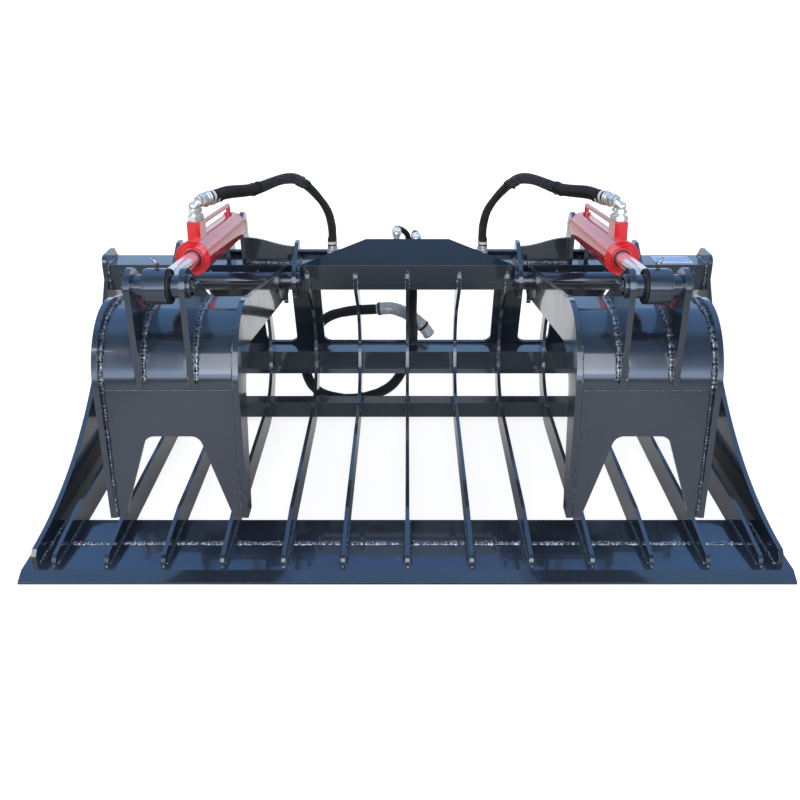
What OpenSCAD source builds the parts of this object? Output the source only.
// Skeleton grapple bucket for a skid-steer loader: a tined rock bucket with two independent
// hold-down arms, each closed by its own hydraulic cylinder.
// X runs across the bucket, Y runs back from the cutting edge, Z is up.
// The sketches are drawn from the tine tips: Y = 0 at the tips, Z = 0 on the edge plates.

/* [Bucket width and floor] */
// Length of the cutting edge across the bucket
edge_w = 1816; // [1500:1:2100]
// Overhang of the cutting edge past each side plate
edge_overhang = 23; // [10:1:40]
// Thickness of the cutting edge and its backing plate
edge_t = 20; // [12:1:25]
// How far the cutting edge leads the tine tips
edge_lead = 42; // [20:1:60]
// Where the cutting edge meets the backing plate, behind the tips
edge_seam_y = 98; // [70:1:130]
// Rear edge of the backing plate, behind the tips
backing_end_y = 205; // [170:1:260]
// Height of the ground-down nose of the cutting edge
nose_h = 5; // [3:1:10]
// Length of the bevel behind the nose
bevel_l = 30; // [15:1:38]
// Thickness of the side plates
side_t = 12; // [8:1:16]

/* [Tines] */
// Plate thickness of one tine
tine_t = 10; // [6:0.5:14]
// Height of the tine plate in the floor
tine_h = 70; // [50:1:80]
// Where the ground-down tine nose reaches full height
tine_knee_y = 186; // [120:1:200]
// Height of the blunt tine tip
tine_tip_h = 25; // [15:1:35]
// Length of the flat floor, tips to the start of the heel
floor_l = 770; // [650:1:800]
// Inside radius of the heel
heel_r = 165; // [150:1:180]
// Forward lean of the back edge of the upper tines
tine_lean = 34; // [30:1:36]
// Forward lean of their front edge, which runs up to the face of the top tube
tine_front_lean = 50; // [46:1:52]
// How far a tine laps in front of the top tube
lap_reach = 16; // [10:1:18]
// How far that lap climbs the face of the top tube
lap_h = 56; // [30:1:60]

/* [Cross members] */
// Depth of the square top tube, front to back
top_tube_d = 102; // [90:1:110]
// Height of the top tube
top_tube_h = 76; // [60:1:84]
// Wall of the top and middle tubes
tube_wall = 6; // [4:0.5:8]
// Front face of the top tube, behind the tips
top_tube_y = 790; // [786:1:796]
// Underside of the top tube
top_tube_z = 425; // [415:1:432]
// Side of the square middle tube
mid_tube_d = 76; // [60:1:80]
// Front face of the middle tube
mid_tube_y = 935; // [930:1:945]
// Underside of the middle tube
mid_tube_z = 94; // [85:1:100]
// Side of the square lower tube
low_tube_d = 50; // [40:1:56]
// Front face of the lower tube
low_tube_y = 800; // [780:1:805]
// Underside of the lower tube
low_tube_z = 3; // [0:1:6]

/* [Loader plate] */
// Full width of the quick-attach plate
plate_w = 1143; // [1100:1:1160]
// Thickness of the quick-attach plate
plate_t = 10; // [8:0.5:13]
// Half width of the centre opening
centre_window = 270; // [240:1:280]
// Width of each upright between the openings
upright_w = 90; // [60:1:100]
// Width of each outer opening
side_window_w = 98; // [70:1:110]
// Height of the openings, up the plate
window_h = 240; // [180:1:245]
// Corner radius of the openings
window_r = 25; // [10:1:35]
// How far the hook and the lock ledge stand out behind the plate
ledge_reach = 52; // [40:1:60]
// Length of one lock pin slot
slot_l = 48; // [40:1:60]
// Width of one lock pin slot
slot_w = 27; // [22:1:30]
// Centre distance of the two lock pin slots
slot_span = 854; // [820:1:880]

/* [Pivots] */
// Arm hinge axis, behind the tips
pivot_y = 744; // [738:1:746]
// Arm hinge axis, above the floor plates
pivot_z = 468; // [460:1:474]
// Cylinder base pin axis, behind the tips
base_y = 809; // [806:1:812]
// Cylinder base pin axis height
base_z = 616; // [612:1:620]
// Rod pin axis, ahead of the tips
rod_pin_y = -46; // [-50:1:-42]
// Rod pin axis height
rod_pin_z = 706; // [702:1:710]
// Radius of the arm hinge pins
pivot_pin_r = 16; // [12:0.5:18]
// Radius of the cylinder base pins
base_pin_r = 12.5; // [10:0.5:14]
// Radius of the rod pins
rod_pin_r = 14; // [10:0.5:15]
// Radial running clearance of a pin in its bore
pin_fit = 0.05; // [0.02:0.01:0.1]
// Distance from the middle of an arm to the inside of the side plate beside it
arm_margin = 377; // [373:1:383]

/* [Grapple arms] */
// Width of one arm over its side plates
arm_w = 300; // [280:1:310]
// Thickness of the arm side plates
arm_t = 12; // [8:1:16]
// Radius of the arm end round its hinge
arm_end_r = 42; // [36:1:43]
// Centre of the arm knuckle, behind the tips
knuckle_y = 67; // [60:1:75]
// Height of the centre of the arm knuckle
knuckle_z = 488; // [480:1:495]
// Outside radius of the side plates at the knuckle
knuckle_r = 150; // [145:1:158]
// Outside radius of the curved cover
cover_r = 133; // [125:1:140]
// Thickness of the cover
cover_t = 10; // [6:1:12]
// Rear end of the cover, behind the knuckle centre
cover_tail = 78; // [50:1:90]
// Height of the arm tips at rest
tip_z = 195; // [185:1:205]
// Depth of the arm tip
tip_d = 24; // [18:1:30]
// Inside radius of the arm throat
throat_r = 110; // [90:1:125]
// Height of the top of the notch between the two teeth
notch_z = 385; // [370:1:400]
// Width of the notch at its top
notch_top_w = 112; // [90:1:130]
// Width of the notch at the tips
notch_tip_w = 236; // [200:1:246]
// Corner radius of the notch
notch_r = 24; // [8:1:26]
// Distance between the centres of the two rod lugs
lug_span = 108; // [106:1:116]
// Thickness of a rod lug
lug_t = 12; // [8:1:14]
// Radius of a rod lug round its pin
lug_r = 37; // [35:1:42]
// Outside radius of the arm hinge tube
hinge_tube_r = 25; // [22:0.5:28]

/* [Cylinders] */
// Outside radius of the barrel
barrel_r = 40; // [36:0.5:41]
// Bore radius of the barrel
bore_r = 31.75; // [28:0.25:33]
// Length from the base pin to the barrel mouth
barrel_l = 551; // [530:1:560]
// Radius of the piston rod
rod_r = 17.5; // [14:0.5:20]
// Length of the gland inside the mouth
gland_l = 46; // [35:1:55]
// Length of the piston
piston_l = 30; // [20:1:35]
// Distance from the base pin to the piston face at rest
piston_at = 400; // [390:1:410]
// Outside radius of the rod eye
rod_eye_r = 36; // [34:0.5:38]
// Radius of the open bore in the rod eye
rod_eye_bore_r = 28; // [27.5:0.5:29]
// Width of the rod eye
rod_eye_w = 42; // [36:1:46]
// Width of the base eye
base_eye_w = 32; // [28:1:34]
// Outside radius of the base eye
base_eye_r = 26; // [22:1:28]

/* [Hoses] */
// Outside radius of one cylinder hose
hose_r = 10.5; // [8:0.5:11]
// Outside radius of the sleeved supply bundle
bundle_r = 17; // [14:0.5:18]

/* [Hidden] */
$fn = 64;
LEFT = -1;
RIGHT = 1;
paint = "#3a4552";
red = "#d8202a";
chrome = "#d0d4d8";
zinc = "#b9bcb6";
rubber = "#1d1f22";

// one overrun serves every cut
cut = 1;
// gap between a hose end and a fitting that moves against it
seat_gap = 0.3;

side_out = edge_w / 2 - edge_overhang;
side_in = side_out - side_t;
arm_x = side_in - arm_margin;
arm_in_x = arm_x - arm_w / 2;
arm_out_x = arm_x + arm_w / 2;
tine_top = tine_h - edge_t;
tip_round = 12;
heel_y = floor_l;
heel_z = tine_top + heel_r;
heel_out_r = heel_r + tine_h;
top_tube_top = top_tube_z + top_tube_h;
top_tube_rear = top_tube_y + top_tube_d;
mid_tube_top = mid_tube_z + mid_tube_d;
mid_tube_rear = mid_tube_y + mid_tube_d;

// the loader plate lies against the rear top corners of the middle and top tubes
plate_run = mid_tube_rear - top_tube_rear;
plate_rise = top_tube_top - mid_tube_top;
plate_lean = atan2(plate_run, plate_rise);
plate_foot = 84;
plate_head = 14;
plate_len = norm([plate_run, plate_rise]);
rail_t = 12;
rail_drop = 34;
window_sill = 6;
ledge_side = 59;
toe_x = 478;
toe_w = 64;
toe_h = 46;

// the arm's side plates lean forward to their tips, and the tooth plate stands just inside
tip_lead = 28;
tooth_set = 2;
tip_front = knuckle_y - cover_r - tip_lead;

// outermost points of the whole bucket, front and back
y_front = tip_front;
y_back = mid_tube_rear + (plate_t + ledge_reach) * cos(plate_lean) + plate_foot * sin(plate_lean);
y_mid = (y_front + y_back) / 2;

// side plate: a long sweep up from the tip to a straight horn beside the top tube
sweep_r = 1000;
sweep_y = -39;
sweep_z = 1040;
side_nose_h = 28;
side_nose_y = 13;
sweep_sides = 24;
// the heel's arc ends where it meets the loader plate
heel_gap = (mid_tube_rear - heel_y) * cos(plate_lean) + (mid_tube_top - heel_z) * sin(plate_lean);
heel_end_turn = plate_lean - acos(min(1, heel_gap / heel_out_r));
heel_sides = 12;
horn_lead = 14;
horn_rise = 28;
horn_r = 22;
horn_y = top_tube_y - horn_lead;
horn_top = top_tube_top + horn_rise;

// pivot ears, base lugs and their gussets
ear_t = 12;
ear_in_gap = 24;
ear_out_gap = 20;
ear_in_x = arm_in_x - ear_in_gap;
ear_out_x = arm_out_x + ear_out_gap;
ear_r = 50;
ear_turn = 38;
ear_rise = 60;
ear_reach = 60;
ear_head_w = 38;
ear_top = top_tube_top + ear_rise;
ear_back_y = top_tube_y + ear_reach;
base_lug_t = 12;
base_lug_side_gap = 0.5;
base_lug_gap = base_eye_w + 2 * base_lug_side_gap;
base_lug_r = 35;
base_lug_foot = 90;
gusset_t = 10;
gusset_back = 14;
gusset_y = base_y + gusset_back;
gusset_h = 74;
gusset_dip = 26;

// the tines stand between the middle, the ears and the side plate, each at a share of its gap
tine_stops = [0, ear_in_x, ear_out_x, side_in];
tine_gap_shares = [[0, 0.472, 0.908], [0.333, 0.739], [0.211, 0.81]];
tine_x = [for (g = [0 : 2]) for (share = tine_gap_shares[g])
    tine_stops[g] + share * (tine_stops[g + 1] - tine_stops[g])];

// centre cover: a strip on the tube with a raked trapezium above it
strip_t = 8;
strip_foot = 20;
strip_w = 2 * ear_in_x - ear_t;
flap_top_w = 244;
flap_run = 64;
flap_rise = 62;
flap_len = norm([flap_run, flap_rise]);
flap_rake = atan2(flap_run, flap_rise);

// blank data plate on the top tube, between the outer ear and the side plate
data_w = 112;
data_d = 62;
data_t = 1.5;
data_place_share = 0.607;
data_from = ear_out_x + ear_t / 2;
data_x = data_from + data_place_share * (side_in - data_from - data_w);

// hinge pins and base pins
pin_head_r = 24;
pin_head_t = 6;
pin_tail = 6;

// arm outline
throat_back = 55;
throat_rise = 60;
throat_corner_y = knuckle_y - throat_back;
throat_corner_z = knuckle_z + throat_rise;
boss_side_gap = 3;
rod_boss_r = 23.5;
rod_washer_r = 34;
rod_washer_t = 4;
rod_washer_gap = 1;
lug_toe = 15;
lug_toe_rise = 18;
lug_toe_z = knuckle_z + lug_toe_rise;

// the cylinder lies along -Y in its own sketch, with its base pin at the origin
cyl_run = base_y - rod_pin_y;
cyl_rise = rod_pin_z - base_z;
cyl_pins = norm([cyl_run, cyl_rise]);
cyl_tilt = -atan2(cyl_rise, cyl_run);
cap_gap = 11;
barrel_cap_y = base_lug_r + cap_gap;
cap_t = 26;
wiper_t = 5;
wiper_w = 5;
wiper_out = 2.5;
nipple_r = 4;
nipple_h = 10;
block_w = 30;
block_l = 66;
block_h = 39;
block_back = 30;
block_at = barrel_l - block_back - block_l;
port_step = 17;
port_r = 9;
port_h = 34;
elbow_r = 11;
nut_r = 14;
nut_h = 14;
pipe_r = 6;
pipe_lift = 14;
pipe_end = 92;
pipe_in = 12;
pipe_stub_r = 10;
ferrule_r = 13;
ferrule_l = 30;

// hydraulic lines on the frame
line_r = 9;
line_core_r = 8;
line_lift = 3;
line_step = 22;
line_front_y = 856;
line_end_gap = 94;
line_end_x = ear_in_x - ear_t / 2 - line_end_gap;
line_z = top_tube_top + line_r + line_lift;
wrap_r = 22;
hose_sides = 10;
// sideways guides that no stretch of the route runs along
guide_a = [1, 1, 0];
guide_b = [0, 1, 0];
guide_t = [1, 0, 0];

// cylinder hose routes on the right-hand side, port ferrule to cross line ferrule
front_hose = [[462, 350, 797], [430, 395, 802], [376, 466, 794], [307, 625, 788],
              [277, 778, 732], [236, 830, 660], [222, 843, 600], [222, 843, 545]];
rear_hose = [[462, 386, 785], [434, 424, 786], [379, 500, 779], [328, 633, 777],
             [295, 798, 735], [240, 856, 660], [222, 871, 600], [222, 871, 545]];
// supply bundle route, from behind the centre cover to the wrapped coupler ends
bundle_route = [[10, 985, 505], [13, 998, 430], [15, 992, 352], [14, 1004, 272],
                [18, 1058, 179], [9, 1073, 110], [-17, 1056, 51], [-61, 1012, 11],
                [-139, 957, 0], [-214, 951, -2], [-291, 988, 3], [-334, 1035, 35],
                [-346, 1073, 94], [-328, 1086, 164], [-269, 1074, 234], [-193, 1055, 265],
                [-100, 1044, 276]];
wrap_route = [[-99.5, 1044, 276], [-55, 1039, 281], [-18, 1056, 264], [18, 1076, 236],
              [52, 1080, 204], [76, 1078, 170]];
left_tail = [[-32, 896, 574], [-32, 926, 574], [-14, 974, 556], [1, 985, 535], [1, 985, 505]];
right_tail = [[26, 896, 558], [26, 926, 558], [22, 970, 548], [19, 985, 532], [19, 985, 505]];

module seat() {
    translate([0, -y_mid, edge_t]) children();
}

// the right-hand half as drawn, or its mirror image
module on_side(s) {
    if (s < 0) mirror([1, 0, 0]) children();
    else children();
}

// a sketch in the Y-Z plane made into a plate t thick, centred on x
module plate_at(x, t) {
    translate([x - t / 2, 0, 0]) rotate([90, 0, 90]) linear_extrude(t) children();
}

// a round bar along X, centred on x
module x_bar(x, y, z, r, w) {
    translate([x - w / 2, y, z]) rotate([0, 90, 0]) cylinder(h = w, r = r);
}

// a round bar from point a to point b
module bar(a, b, r) {
    v = b - a;
    translate(a) rotate([0, acos(v.z / norm(v)), atan2(v.y, v.x)]) cylinder(h = norm(v), r = r);
}

// a square tube across the bucket
module cross_tube(y, z, d, h, wall) {
    translate([-side_in, y, z]) difference() {
        cube([2 * side_in, d, h]);
        translate([-cut, wall, wall]) cube([2 * side_in + 2 * cut, d - 2 * wall, h - 2 * wall]);
    }
}

// EDGE PLATES
module cutting_edge() {
    color(paint) seat() plate_at(0, edge_w) polygon([
        [-edge_lead, -edge_t], [edge_seam_y, -edge_t], [edge_seam_y, 0],
        [-edge_lead + bevel_l, 0], [-edge_lead, -edge_t + nose_h]
    ]);
}

module backing_plate() {
    color(paint) seat() translate([-side_out, edge_seam_y, -edge_t])
        cube([2 * side_out, backing_end_y - edge_seam_y, edge_t]);
}

// TINES
// everything behind the front face of the loader plate
module behind_plate() {
    translate([mid_tube_rear, mid_tube_top]) rotate(plate_lean)
        translate([0, -plate_len]) square([plate_len, 3 * plate_len]);
}

// height of the sloping nose edge, y behind the tip
function tine_edge(y) = tine_tip_h + (tine_top - tine_tip_h) * y / tine_knee_y;
function around(a) = [cos(a), sin(a)];

// face_y is the face that the tine laps in front of
module tine_outline(face_y) {
    heel = [heel_y, heel_z];
    back = heel + heel_out_r * around(tine_lean);
    front = heel + heel_r * around(tine_front_lean);
    lap_y = top_tube_y - lap_reach;
    lap_top = top_tube_z + lap_h;
    back_end_y = back.x - (top_tube_z - back.y) * tan(tine_lean);
    difference() {
        union() {
            polygon([
                [0, 0], [backing_end_y, 0], [backing_end_y, -edge_t], [heel_y, -edge_t],
                [heel_y, tine_top], [tine_knee_y, tine_top], [tip_round, tine_edge(tip_round)],
                [tip_round / 3, tine_tip_h - tip_round / 3], [0, tine_tip_h - tip_round]
            ]);
            // the heel: a ring from the floor to where the front edge leaves it
            translate(heel) intersection() {
                difference() {
                    circle(r = heel_out_r);
                    circle(r = heel_r);
                }
                polygon([
                    [0, 0], [0, -2 * heel_out_r], [2 * heel_out_r, -2 * heel_out_r],
                    [2 * heel_out_r, 0], 2 * heel_out_r * around(tine_front_lean)
                ]);
            }
            // the back, with the lap up the face of the top tube
            polygon([
                front, back, [back_end_y, top_tube_z], [face_y, top_tube_z], [face_y, lap_top],
                [lap_y, lap_top - lap_reach],
                [lap_y, front.y + (front.x - lap_y) / tan(tine_front_lean)]
            ]);
        }
        behind_plate();
        translate([mid_tube_y, mid_tube_z]) square([2 * mid_tube_d, mid_tube_d]);
        translate([low_tube_y, low_tube_z]) square(low_tube_d);
    }
}

// the n-th tine each side of the middle; those behind the centre cover's strip lap the strip
module tines(n) {
    x = tine_x[n];
    color(paint) seat() for (s = n == 0 ? [RIGHT] : [LEFT, RIGHT])
        plate_at(s * x, tine_t)
            tine_outline(x + tine_t < strip_w / 2 ? top_tube_y - strip_t : top_tube_y);
}

// SIDE PLATES
// height of the swept front edge, y behind the tip
function sweep_edge(y) = sweep_z - sqrt(sweep_r * sweep_r - (y - sweep_y) * (y - sweep_y));
function sweep_point(y) = [y, sweep_edge(y)];
// where the loader plate's front face stands at a height
function plate_back(z) = mid_tube_rear - (z - mid_tube_top) * tan(plate_lean);

// a full heel below, the loader plate's slope behind, a horn beside the top tube, and one
// long sweep down to the blunt nose
module side_outline() {
    corner = [horn_y + horn_r, horn_top - horn_r];
    polygon([
        [0, 0], [backing_end_y, 0], [backing_end_y, -edge_t],
        for (k = [0 : heel_sides])
            [heel_y, heel_z] + heel_out_r * around(-90 + (90 + heel_end_turn) * k / heel_sides),
        [plate_back(corner.y), corner.y], [top_tube_rear - horn_r, horn_top],
        for (a = [90 : 15 : 180]) corner + horn_r * around(a),
        for (k = [0 : sweep_sides]) sweep_point(horn_y + (side_nose_y - horn_y) * k / sweep_sides),
        [0, side_nose_h]
    ]);
}

module side_plate(s) {
    color(paint) seat() plate_at(s * (side_out - side_t / 2), side_t) side_outline();
}

// TUBES
module lower_tube() {
    color(paint) seat() cross_tube(low_tube_y, low_tube_z, low_tube_d, low_tube_d, tube_wall);
}

module middle_tube() {
    color(paint) seat() cross_tube(mid_tube_y, mid_tube_z, mid_tube_d, mid_tube_d, tube_wall);
}

module top_tube() {
    color(paint) seat() cross_tube(top_tube_y, top_tube_z, top_tube_d, top_tube_h, tube_wall);
}

// CENTRE COVER
module centre_cover() {
    color(paint) seat() {
        translate([-strip_w / 2, top_tube_y - strip_t, top_tube_z + strip_foot])
            cube([strip_w, strip_t, top_tube_h - strip_foot]);
        difference() {
            translate([0, top_tube_y - strip_t, top_tube_top]) rotate([90 - flap_rake, 0, 0])
                translate([0, 0, -strip_t]) linear_extrude(strip_t) polygon([
                    [-strip_w / 2, 0], [strip_w / 2, 0], [flap_top_w / 2, flap_len],
                    [-flap_top_w / 2, flap_len]
                ]);
            translate([-strip_w / 2, top_tube_y - strip_t, top_tube_z])
                cube([strip_w, top_tube_d, top_tube_h]);
        }
    }
}

// EARS, LUGS AND GUSSETS
module ear_outline() {
    difference() {
        union() {
            translate([pivot_y, pivot_z]) circle(r = ear_r);
            polygon([
                [pivot_y, pivot_z - ear_r], [top_tube_y, pivot_z - ear_r],
                [ear_back_y, top_tube_top], [ear_back_y, ear_top - strip_t],
                [ear_back_y - strip_t, ear_top], [ear_back_y - ear_head_w, ear_top],
                [pivot_y - ear_r * cos(ear_turn), pivot_z + ear_r * sin(ear_turn)]
            ]);
        }
        translate([top_tube_y, top_tube_z - ear_r]) square([top_tube_d, top_tube_h + ear_r]);
    }
}

module pivot_ears() {
    color(paint) seat() for (s = [LEFT, RIGHT], x = [ear_in_x, ear_out_x]) difference() {
        plate_at(s * x, ear_t) ear_outline();
        x_bar(s * x, pivot_y, pivot_z, pivot_pin_r + pin_fit, ear_t + 2 * cut);
    }
}

module base_lug_outline() {
    translate([base_y, base_z]) circle(r = base_lug_r);
    polygon([
        [top_tube_y, top_tube_top], [top_tube_y + base_lug_foot, top_tube_top],
        [base_y + base_lug_r, base_z], [base_y - base_lug_r, base_z]
    ]);
}

module base_lugs() {
    step = (base_lug_gap + base_lug_t) / 2;
    color(paint) seat() for (s = [LEFT, RIGHT], x = [arm_x - step, arm_x + step]) difference() {
        plate_at(s * x, base_lug_t) base_lug_outline();
        x_bar(s * x, base_y, base_z, base_pin_r + pin_fit, base_lug_t + 2 * cut);
    }
}

// a wavy-topped web on the tube between the inner ear and the cylinder lugs
module gusset_outline() {
    x0 = ear_in_x + ear_t / 2;
    x1 = arm_x - base_lug_gap / 2 - base_lug_t;
    w = x1 - x0;
    low = gusset_h - gusset_dip;
    polygon([for (k = [0 : 12])
        let (u = k / 12)
        [x0 + u * w, top_tube_top + low + gusset_dip * (1 - cos(180 * u)) / 2],
        [x1, top_tube_top], [x0, top_tube_top]]);
}

module lug_gussets() {
    color(paint) seat() for (s = [LEFT, RIGHT]) on_side(s)
        translate([0, gusset_y, 0]) rotate([90, 0, 0]) linear_extrude(gusset_t) gusset_outline();
}

// LOADER PLATE
// the plate's own sketch: x across, z up the plate, y out behind it
module on_plate() {
    translate([0, mid_tube_rear, mid_tube_top]) rotate([plate_lean, 0, 0]) children();
}

module window_outline(x0, w) {
    translate([x0 + window_r, window_sill + window_r]) offset(r = window_r)
        square([w - 2 * window_r, window_h - 2 * window_r]);
}

module loader_plate() {
    color(paint) seat() on_plate() translate([0, plate_t, 0]) rotate([90, 0, 0])
        linear_extrude(plate_t) difference() {
            // a pointed toe under each outer pad
            polygon([
                [-plate_w / 2, -plate_foot],
                for (s = [LEFT, RIGHT]) for (k = [-1 : 1])
                    [s * toe_x + k * toe_w / 2, -plate_foot - (1 - abs(k)) * toe_h],
                [plate_w / 2, -plate_foot], [plate_w / 2, plate_len + plate_head],
                [-plate_w / 2, plate_len + plate_head]
            ]);
            window_outline(-centre_window, 2 * centre_window);
            for (s = [LEFT, RIGHT]) scale([s, 1])
                window_outline(centre_window + upright_w, side_window_w);
        }
}

// the hook over the loader's top edge: a flange out and a lip down
module hook_rail() {
    color(paint) seat() on_plate() translate([0, plate_t, plate_len + plate_head])
        plate_at(0, plate_w) polygon([
            [0, 0], [ledge_reach, -rail_drop], [ledge_reach, -rail_drop - rail_t],
            [ledge_reach - rail_t, -rail_drop - rail_t], [0, -rail_t - rail_t / 2]
        ]);
}

// two ledges at the foot, each with the slot for a lock pin
module lock_ledges() {
    in_x = slot_span / 2 - ledge_side;
    w = plate_w / 2 - in_x;
    color(paint) seat() on_plate() for (s = [LEFT, RIGHT]) on_side(s)
        translate([0, plate_t, -plate_foot]) difference() {
            translate([in_x, 0, 0]) cube([w, ledge_reach, rail_t]);
            translate([slot_span / 2, ledge_reach / 2, -cut]) linear_extrude(rail_t + 2 * cut) {
                square([slot_l - slot_w, slot_w], center = true);
                for (e = [LEFT, RIGHT]) translate([e * (slot_l - slot_w) / 2, 0])
                    circle(d = slot_w);
            }
        }
}

// DATA PLATE
module data_plate() {
    color(zinc) seat() translate([data_x, top_tube_y + (top_tube_d - data_d) / 2, top_tube_top])
        cube([data_w, data_d, data_t]);
}

// PINS
module hinge_pins() {
    x0 = ear_in_x - ear_t / 2 - pin_head_t;
    x1 = ear_out_x + ear_t / 2 + pin_tail;
    color(zinc) seat() for (s = [LEFT, RIGHT]) on_side(s) {
        x_bar((x0 + x1) / 2, pivot_y, pivot_z, pivot_pin_r, x1 - x0);
        x_bar(x0 + pin_head_t / 2, pivot_y, pivot_z, pin_head_r, pin_head_t);
    }
}

module base_pins() {
    w = base_lug_gap + 2 * base_lug_t;
    color(zinc) seat() for (s = [LEFT, RIGHT]) on_side(s) {
        x_bar(arm_x - pin_tail / 2, base_y, base_z, base_pin_r, w + pin_tail);
        x_bar(arm_x + w / 2 + pin_head_t / 2, base_y, base_z, pin_head_r, pin_head_t);
    }
}

// HYDRAULIC LINES ON THE FRAME
// two steel lines behind the centre cover join the cylinder hoses to the supply elbows
module cross_lines() {
    front_end = front_hose[len(front_hose) - 1];
    rear_end = rear_hose[len(rear_hose) - 1];
    elbow_a = left_tail[0];
    elbow_b = right_tail[0];
    color(zinc) seat() {
        for (s = [LEFT, RIGHT]) on_side(s) for (end = [front_end, rear_end]) {
            translate([line_end_x, end.y, top_tube_top])
                cylinder(h = end.z - top_tube_top, r = ferrule_r);
        }
        for (step = [0, line_step])
            x_bar(0, line_front_y + step - line_r, line_z, line_core_r, 2 * line_end_x);
        for (e = [elbow_a, elbow_b]) {
            translate([e.x, line_front_y + line_r, top_tube_top])
                cylinder(h = e.z - top_tube_top, r = line_r);
            translate([e.x, line_front_y + line_r, e.z]) sphere(r = elbow_r);
            bar([e.x, line_front_y + line_r, e.z], e, ferrule_r);
        }
    }
}

// GRAPPLE ARMS
module throat_outline() {
    offset(r = throat_r) offset(delta = -throat_r) polygon([
        [tip_front + tip_d, tip_z - throat_r], [throat_corner_y, throat_corner_z],
        [pivot_y, pivot_z - arm_end_r], [pivot_y + throat_r, tip_z - throat_r]
    ]);
}

module arm_outline() {
    difference() {
        union() {
            polygon([
                [tip_front, tip_z], [tip_front + tip_d, tip_z], [pivot_y, tip_z],
                [pivot_y, pivot_z + arm_end_r], [knuckle_y, knuckle_z + knuckle_r],
                [knuckle_y, knuckle_z], [knuckle_y - knuckle_r, knuckle_z]
            ]);
            translate([knuckle_y, knuckle_z]) circle(r = knuckle_r, $fn = 96);
        }
        throat_outline();
        translate([pivot_y, tip_z - cut]) square([pivot_y, pivot_z]);
    }
    translate([pivot_y, pivot_z]) circle(r = arm_end_r);
}

module arm_plates(s) {
    color(paint) seat() for (x = [arm_in_x + arm_t / 2, arm_out_x - arm_t / 2]) difference() {
        plate_at(s * x, arm_t) arm_outline();
        x_bar(s * x, pivot_y, pivot_z, hinge_tube_r, arm_t + 2 * cut);
    }
}

// the cover rolled round the knuckle, with a short straight tail
module rolled_outline() {
    difference() {
        union() {
            translate([knuckle_y, knuckle_z]) circle(r = cover_r, $fn = 96);
            translate([knuckle_y, knuckle_z + cover_r - cover_t]) square([cover_tail, cover_t]);
        }
        translate([knuckle_y, knuckle_z]) circle(r = cover_r - cover_t, $fn = 96);
        translate([knuckle_y - 2 * cover_r, tip_z]) square([4 * cover_r, knuckle_z - tip_z]);
        translate([knuckle_y, tip_z])
            square([2 * cover_r, knuckle_z + cover_r - cover_t - tip_z]);
    }
}

// the flat tooth plate, let into the rolled cover by one overrun
module tooth_outline() {
    face = knuckle_y - cover_r;
    foot = tip_front + tooth_set;
    polygon([
        [face, knuckle_z], [face + cut, knuckle_z + cut],
        [face + cover_t - cut, knuckle_z + cut], [face + cover_t, knuckle_z],
        [foot + cover_t, tip_z], [foot, tip_z]
    ]);
}

module notch_outline() {
    offset(r = notch_r) offset(delta = -notch_r) polygon([
        [-notch_top_w / 2, notch_z], [notch_top_w / 2, notch_z], [notch_tip_w / 2, tip_z],
        [notch_tip_w / 2, tip_z - notch_r * 3], [-notch_tip_w / 2, tip_z - notch_r * 3],
        [-notch_tip_w / 2, tip_z]
    ]);
}

module arm_cover(s) {
    color(paint) seat() on_side(s) translate([arm_x, 0, 0]) difference() {
        union() {
            plate_at(0, arm_w - 2 * arm_t) rolled_outline();
            plate_at(0, arm_w - 2 * arm_t) tooth_outline();
        }
        translate([0, knuckle_y, 0]) rotate([90, 0, 0])
            linear_extrude(2 * cover_r) notch_outline();
    }
}

module hinge_tube(s) {
    w = ear_out_x - ear_in_x - ear_t - 2 * boss_side_gap;
    x = (ear_out_x + ear_in_x) / 2;
    color(paint) seat() on_side(s) difference() {
        x_bar(x, pivot_y, pivot_z, hinge_tube_r, w);
        x_bar(x, pivot_y, pivot_z, pivot_pin_r + pin_fit, w + 2 * cut);
    }
}

module rod_lug_outline() {
    difference() {
        union() {
            translate([rod_pin_y, rod_pin_z]) circle(r = lug_r);
            polygon([
                [rod_pin_y - lug_r, rod_pin_z], [knuckle_y - cover_r - lug_toe, lug_toe_z],
                [knuckle_y - cover_r, lug_toe_z], [knuckle_y, knuckle_z],
                [knuckle_y + cover_tail, knuckle_z + cover_r - cover_t],
                [knuckle_y + cover_tail, knuckle_z + cover_r],
                [rod_pin_y + lug_r * sin(45), rod_pin_z + lug_r * cos(45)]
            ]);
        }
        translate([knuckle_y, knuckle_z]) circle(r = cover_r, $fn = 96);
        translate([knuckle_y, knuckle_z]) square([2 * cover_r, cover_r]);
    }
}

module rod_lugs(s) {
    color(paint) seat() for (x = [arm_x - lug_span / 2, arm_x + lug_span / 2]) difference() {
        plate_at(s * x, lug_t) rod_lug_outline();
        x_bar(s * x, rod_pin_y, rod_pin_z, rod_pin_r + pin_fit, lug_t + 2 * cut);
    }
}

// the pin with a spacer boss and a flanged washer each side of the rod eye
module rod_pin(s) {
    lug_in = (lug_span - lug_t) / 2;
    eye = rod_eye_w / 2 + rod_washer_gap;
    w = lug_span + lug_t;
    color(paint) seat() on_side(s) {
        x_bar(arm_x, rod_pin_y, rod_pin_z, rod_pin_r, w);
        for (e = [LEFT, RIGHT]) {
            x_bar(arm_x + e * (eye + lug_in) / 2, rod_pin_y, rod_pin_z, rod_boss_r, lug_in - eye);
            x_bar(arm_x + e * (eye + rod_washer_t / 2), rod_pin_y, rod_pin_z, rod_washer_r,
                rod_washer_t);
            x_bar(arm_x + e * (w / 2 + pin_head_t / 2), rod_pin_y, rod_pin_z, pin_head_r,
                pin_head_t);
        }
    }
}

// CYLINDERS
module on_cylinder(s) {
    seat() on_side(s) translate([arm_x, base_y, base_z]) rotate([cyl_tilt, 0, 0]) children();
}

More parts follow.
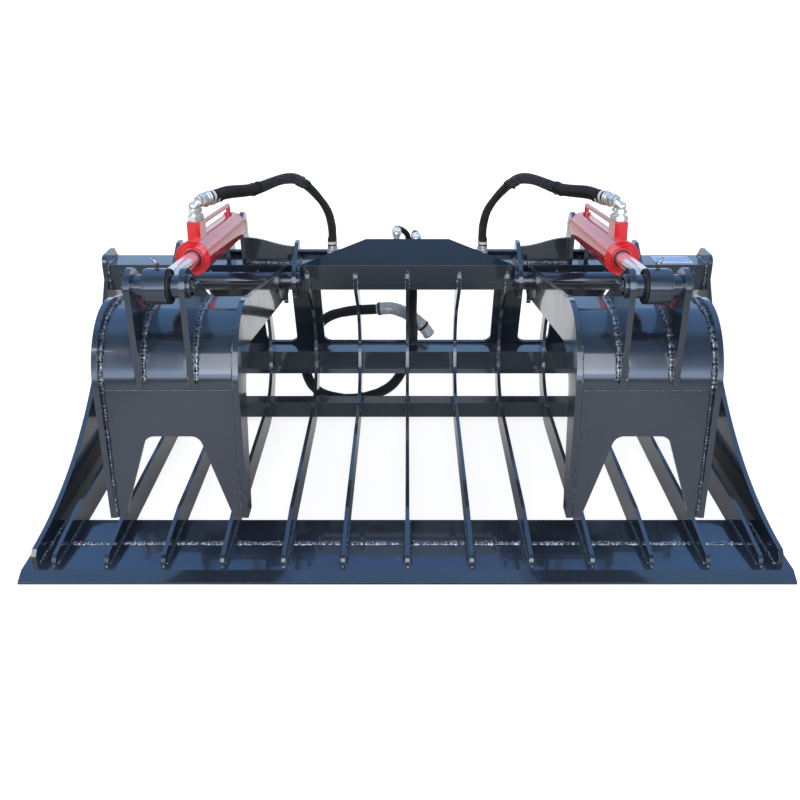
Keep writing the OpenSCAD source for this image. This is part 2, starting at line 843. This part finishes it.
// a round bar along the cylinder, from distance a to distance b
module y_bar(a, b, r) {
    translate([0, -a, 0]) rotate([90, 0, 0]) cylinder(h = b - a, r = r);
}

module barrel(s) {
    color(red) on_cylinder(s) difference() {
        y_bar(barrel_cap_y, barrel_l, barrel_r);
        y_bar(barrel_cap_y + cap_t, barrel_l + cut, bore_r);
    }
}

module base_eye(s) {
    color(red) on_cylinder(s) difference() {
        union() {
            x_bar(0, 0, 0, base_eye_r, base_eye_w);
            translate([-base_eye_w / 2, -barrel_cap_y, -base_eye_r])
                cube([base_eye_w, barrel_cap_y, 2 * base_eye_r]);
        }
        x_bar(0, 0, 0, base_pin_r + pin_fit, base_eye_w + 2 * cut);
    }
}

module gland(s) {
    color(red) on_cylinder(s) difference() {
        y_bar(barrel_l - gland_l, barrel_l, bore_r);
        y_bar(barrel_l - gland_l - cut, barrel_l + cut, rod_r + pin_fit);
        y_bar(barrel_l - wiper_t, barrel_l + cut, rod_r + wiper_w);
    }
}

module wiper(s) {
    color(rubber) on_cylinder(s) difference() {
        y_bar(barrel_l - wiper_t, barrel_l + wiper_out, rod_r + wiper_w);
        y_bar(barrel_l - wiper_t - cut, barrel_l + wiper_t + cut, rod_r + pin_fit);
    }
}

// the oil block welded on the barrel, with the line that feeds the base end
module port_block(s) {
    top = barrel_r + block_h;
    pipe_z = top - pipe_lift;
    color(red) on_cylinder(s) {
        difference() {
            translate([-block_w / 2, -block_at - block_l, 0]) cube([block_w, block_l, top]);
            y_bar(block_at - cut, block_at + block_l + cut, barrel_r);
        }
        difference() {
            union() {
                bar([0, -block_at - pipe_in, pipe_z], [0, -pipe_end, pipe_z], pipe_r);
                translate([0, -pipe_end, pipe_z]) sphere(r = pipe_r);
                bar([0, -pipe_end, 0], [0, -pipe_end, pipe_z], pipe_r);
                bar([0, -pipe_end, 0], [0, -pipe_end, barrel_r + pipe_r], pipe_stub_r);
            }
            y_bar(barrel_cap_y, barrel_l, barrel_r);
            translate([-block_w / 2, -block_at - block_l, 0]) cube([block_w, block_l, top]);
        }
    }
}

// where a point of the cylinder sketch lies in the bucket sketch
function cyl_point(p) = [
    arm_x + p.x,
    base_y + p.y * cos(cyl_tilt) - p.z * sin(cyl_tilt),
    base_z + p.y * sin(cyl_tilt) + p.z * cos(cyl_tilt)
];

module port_fittings(s) {
    top = barrel_r + block_h;
    mid = block_at + block_l / 2;
    color(zinc) seat() on_side(s)
        for (e = [[mid + port_step, front_hose], [mid - port_step, rear_hose]]) {
            foot = cyl_point([0, -e[0], top]);
            nut = cyl_point([0, -e[0], top + nut_h]);
            head = cyl_point([0, -e[0], top + port_h]);
            start = e[1][0];
            dir = (e[1][0] - e[1][1]) / norm(e[1][0] - e[1][1]);
            bar(foot, nut, nut_r);
            bar(foot, head, port_r);
            translate(head) sphere(r = elbow_r);
            bar(head, start + (ferrule_l + seat_gap) * dir, port_r);
            bar(start + (ferrule_l + seat_gap) * dir, start + seat_gap * dir, ferrule_r);
        }
}

module piston_rod(s) {
    color(chrome) on_cylinder(s) difference() {
        y_bar(piston_at, cyl_pins, rod_r);
        x_bar(0, -cyl_pins, 0, rod_eye_r, 2 * rod_eye_w);
    }
}

module piston(s) {
    color(zinc) on_cylinder(s) y_bar(piston_at - piston_l, piston_at, bore_r - pin_fit);
}

module rod_eye(s) {
    color(paint) on_cylinder(s) translate([0, -cyl_pins, 0]) difference() {
        union() {
            x_bar(0, 0, 0, rod_eye_r, rod_eye_w);
            cylinder(h = rod_eye_r + nipple_h, r = nipple_r);
        }
        x_bar(0, 0, 0, rod_eye_bore_r, rod_eye_w + 2 * cut);
    }
}

// HOSES
// Catmull-Rom point between p[i] and p[i + 1]
function near(p, i) = p[max(0, min(len(p) - 1, i))];
function spline(p, i, t) =
    let (a = near(p, i - 1), b = near(p, i), c = near(p, i + 1), d = near(p, i + 2))
    0.5 * (2 * b + (c - a) * t + (2 * a - 5 * b + 4 * c - d) * t * t
        + (3 * b - a - 3 * c + d) * t * t * t);
function samples(p, n) =
    [for (k = [0 : n]) let (u = k * (len(p) - 1) / n, i = min(len(p) - 2, floor(u)))
        spline(p, i, u - i)];
function unit(v) = v / norm(v);
// the run's direction at sample i; both ends leave straight along the route's end stretches
function way(p, q, i) =
    i == 0 ? unit(p[1] - p[0])
    : i == len(q) - 1 ? unit(p[len(p) - 1] - p[len(p) - 2])
    : unit(q[i + 1] - q[i - 1]);
// a ring round the run, kept from twisting by a fixed sideways guide
function ring(c, w, r, sides, guide) =
    let (a = unit(cross(w, guide)), b = cross(w, a))
    [for (k = [0 : sides - 1])
        c + r * (cos(360 * k / sides) * a + sin(360 * k / sides) * b)];

module hose(path, r, n, sides, guide) {
    q = samples(path, n);
    rings = [for (i = [0 : n]) each ring(q[i], way(path, q, i), r, sides, guide)];
    walls = [for (i = [0 : n - 1], k = [0 : sides - 1])
        let (a = i * sides + k, b = i * sides + (k + 1) % sides)
        each [[a, b, b + sides], [a, b + sides, a + sides]]];
    first = [for (k = [0 : sides - 1]) sides - 1 - k];
    last = [for (k = [0 : sides - 1]) n * sides + k];
    polyhedron(points = rings, faces = concat([first], walls, [last]), convexity = 4);
}

module cylinder_hoses(s) {
    color(rubber) seat() on_side(s) {
        hose(front_hose, hose_r, 11, hose_sides, guide_a);
        hose(rear_hose, hose_r, 11, hose_sides, guide_a);
    }
}

module supply_hoses() {
    color(rubber) seat() {
        hose(bundle_route, bundle_r, 28, hose_sides, guide_b);
        hose(left_tail, bundle_r / 2, 4, hose_sides, guide_t);
        hose(right_tail, bundle_r / 2, 4, hose_sides, guide_t);
    }
}

module wrapped_couplers() {
    color("#c9ced2") seat() hose(wrap_route, wrap_r, 5, hose_sides, guide_b);
}

cutting_edge();
backing_plate();
tines(0);  // centre_tine
tines(1);  // tine_pair_1
tines(2);  // tine_pair_2
tines(3);  // tine_pair_3
tines(4);  // tine_pair_4
tines(5);  // tine_pair_5
tines(6);  // tine_pair_6
side_plate(LEFT);  // left_side_plate
side_plate(RIGHT);  // right_side_plate
lower_tube();
middle_tube();
top_tube();
centre_cover();
pivot_ears();
base_lugs();
lug_gussets();
loader_plate();
hook_rail();
lock_ledges();
data_plate();
hinge_pins();
base_pins();
cross_lines();
arm_plates(LEFT);  // left_arm_plates
arm_cover(LEFT);  // left_arm_cover
hinge_tube(LEFT);  // left_hinge_tube
rod_lugs(LEFT);  // left_rod_lugs
rod_pin(LEFT);  // left_rod_pin
arm_plates(RIGHT);  // right_arm_plates
arm_cover(RIGHT);  // right_arm_cover
hinge_tube(RIGHT);  // right_hinge_tube
rod_lugs(RIGHT);  // right_rod_lugs
rod_pin(RIGHT);  // right_rod_pin
barrel(LEFT);  // left_barrel
base_eye(LEFT);  // left_base_eye
gland(LEFT);  // left_gland
wiper(LEFT);  // left_wiper
port_block(LEFT);  // left_port_block
port_fittings(LEFT);  // left_port_fittings
barrel(RIGHT);  // right_barrel
base_eye(RIGHT);  // right_base_eye
gland(RIGHT);  // right_gland
wiper(RIGHT);  // right_wiper
port_block(RIGHT);  // right_port_block
port_fittings(RIGHT);  // right_port_fittings
piston_rod(LEFT);  // left_rod
piston(LEFT);  // left_piston
rod_eye(LEFT);  // left_rod_eye
piston_rod(RIGHT);  // right_rod
piston(RIGHT);  // right_piston
rod_eye(RIGHT);  // right_rod_eye
cylinder_hoses(LEFT);  // left_hoses
cylinder_hoses(RIGHT);  // right_hoses
supply_hoses();
wrapped_couplers();
